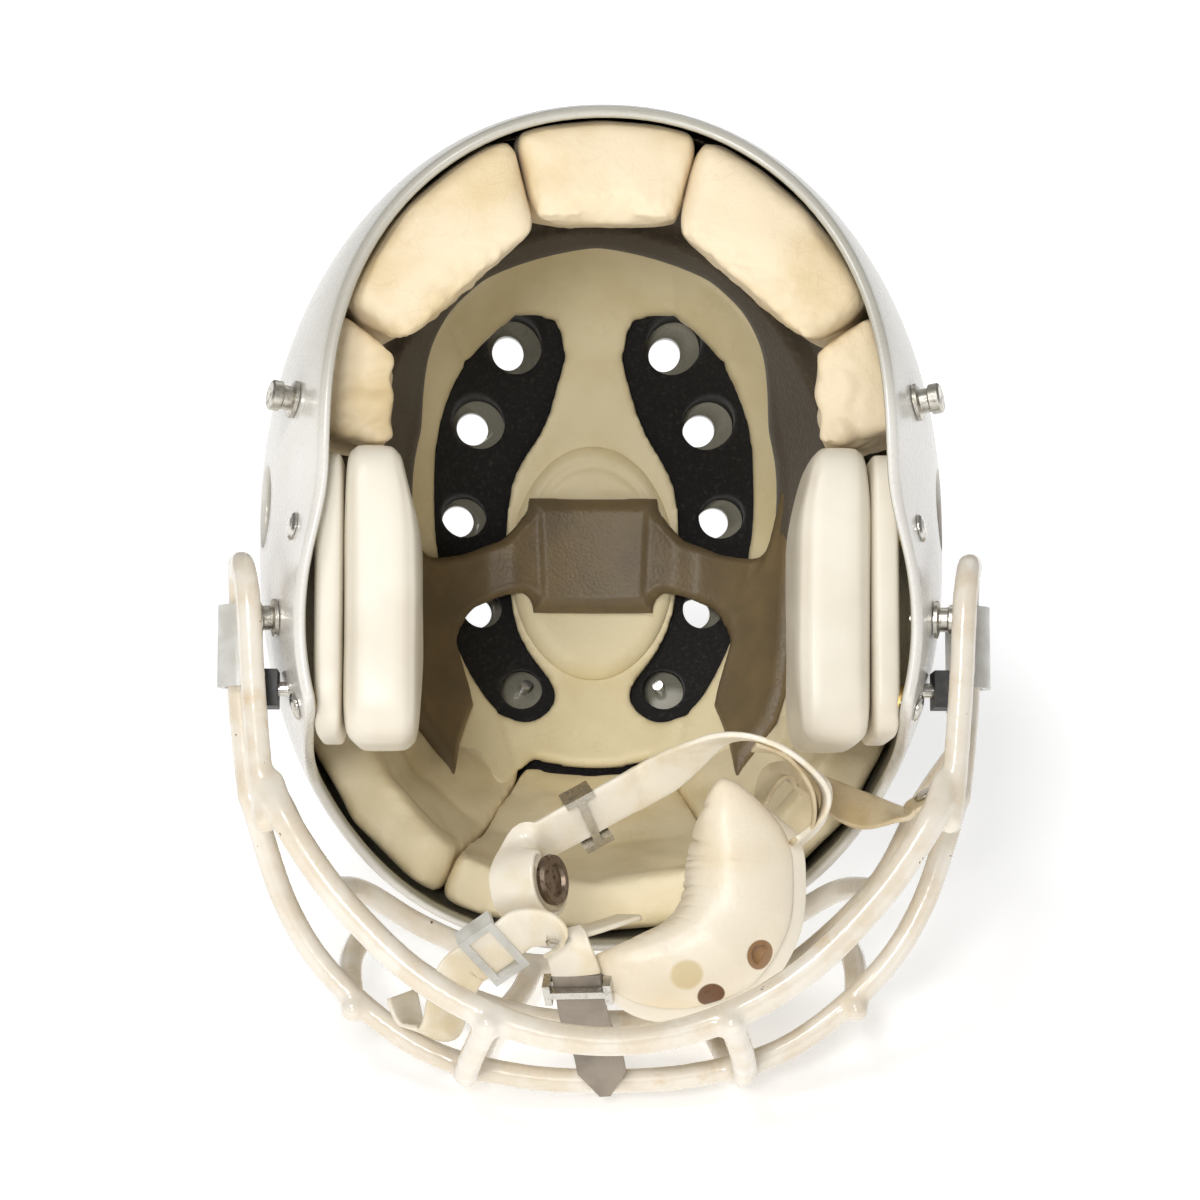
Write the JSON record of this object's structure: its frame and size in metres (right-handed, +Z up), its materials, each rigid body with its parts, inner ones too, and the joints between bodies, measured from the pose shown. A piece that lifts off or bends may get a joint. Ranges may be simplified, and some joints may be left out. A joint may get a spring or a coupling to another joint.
{
  "type": "football helmet",
  "caption": "Football helmet with a nested padded liner, a coated wire face guard on loop clips, push-fit jaw pads and a chin strap with a padded cup.",
  "frame": {"origin": "middle of the bounding box, on the ground plane", "axes": "+Z up; the helmet lies face down on its face guard and forehead; +Y runs from the face guard and neck opening to the back of the crown; +X points to the wearer's right"},
  "size_m": [0.2548, 0.3285, 0.303],
  "materials": {
    "shell": "moulded shell, worn satin",
    "guard": "thick dipped coating on steel wire, semi-gloss",
    "clip": "pale moulded clip",
    "black_plastic": "black moulded block",
    "steel": "nickel-plated steel, scratched",
    "stud_metal": "nickel-plated steel, dull",
    "brass": "tarnished brass",
    "black_foam": "dense black foam",
    "cream_pad": "vinyl-dipped foam, yellowed cream, matt",
    "band": "brown moulded band",
    "dark_foam": "dark foam, matt",
    "jaw_skin": "moulded vinyl skin over foam, semi-gloss",
    "jaw_plate": "cream snap plate",
    "cup_skin": "hard chin shell, semi-gloss",
    "cup_pad": "padded cup lining, semi-gloss",
    "webbing": "vinyl-coated webbing, semi-gloss",
    "clear_plastic": "clear moulded slide"
  },
  "bodies": {
    "helmet": {"shell": "shell", "guard_chin_bar": "guard", "guard_second_bar": "guard", "guard_upper_bar": "guard", "guard_brow_bar": "guard", "guard_loop_left": "guard", "guard_loop_right": "guard", "guard_inner_posts": "guard", "guard_outer_posts": "guard", "side_clip_left": "clip", "side_clip_right": "clip", "clip_spacers": "black_plastic", "brow_clips": "clip", "guard_screws": "steel", "snap_studs": "stud_metal", "jaw_pad_screws": "steel", "tee_nuts": "brass", "crown_screws": "steel", "foam_liner": "black_foam", "crown_pad": "cream_pad", "crown_disc": "cream_pad", "liner_band": "band", "back_pad_center": "cream_pad", "back_pad_left": "cream_pad", "back_pad_right": "cream_pad", "side_pad_left": "cream_pad", "side_pad_right": "cream_pad", "neck_foam": "dark_foam", "brow_pad": "cream_pad", "front_pad_left": "cream_pad", "front_pad_right": "cream_pad", "jaw_base_left": "jaw_plate", "jaw_base_right": "jaw_plate"},
    "chin_strap": {"chin_cup": "cup_skin", "chin_cup_pad": "cup_pad", "strap_upper": "webbing", "strap_lower": "webbing", "strap_right": "webbing", "strap_link": "webbing", "strap_rivet": "steel", "buckle_end": "steel", "strap_snap": "steel"},
    "upper_slide_buckle": {"buckle_upper": "steel"},
    "lower_slide_buckle": {"buckle_lower": "clear_plastic"},
    "left_jaw_pad": {"jaw_pad_left": "jaw_skin"},
    "right_jaw_pad": {"jaw_pad_right": "jaw_skin"}
  },
  "joints": [
    {"name": "chin_strap_swing", "type": "hinge", "parent": "helmet", "child": "chin_strap", "pos_m": [0.10497, -0.0837, 0.09529], "axis": [-0.5607, 0.1679, 0.8108], "range_deg": [0, 4]},
    {"name": "upper_buckle_slide", "type": "slide", "parent": "chin_strap", "child": "upper_slide_buckle", "axis": [-0.8743, -0.2703, -0.4031], "range_m": [-0.006, 0.005]},
    {"name": "lower_buckle_slide", "type": "slide", "parent": "chin_strap", "child": "lower_slide_buckle", "axis": [0.8065, 0.0758, 0.5863], "range_m": [-0.003, 0.003]},
    {"name": "left_jaw_pad_pull", "type": "slide", "parent": "helmet", "child": "left_jaw_pad", "axis": [1, 0, 0], "range_m": [0, 0.01]},
    {"name": "right_jaw_pad_pull", "type": "slide", "parent": "helmet", "child": "right_jaw_pad", "axis": [-1, 0, 0], "range_m": [0, 0.01]}
  ]
}
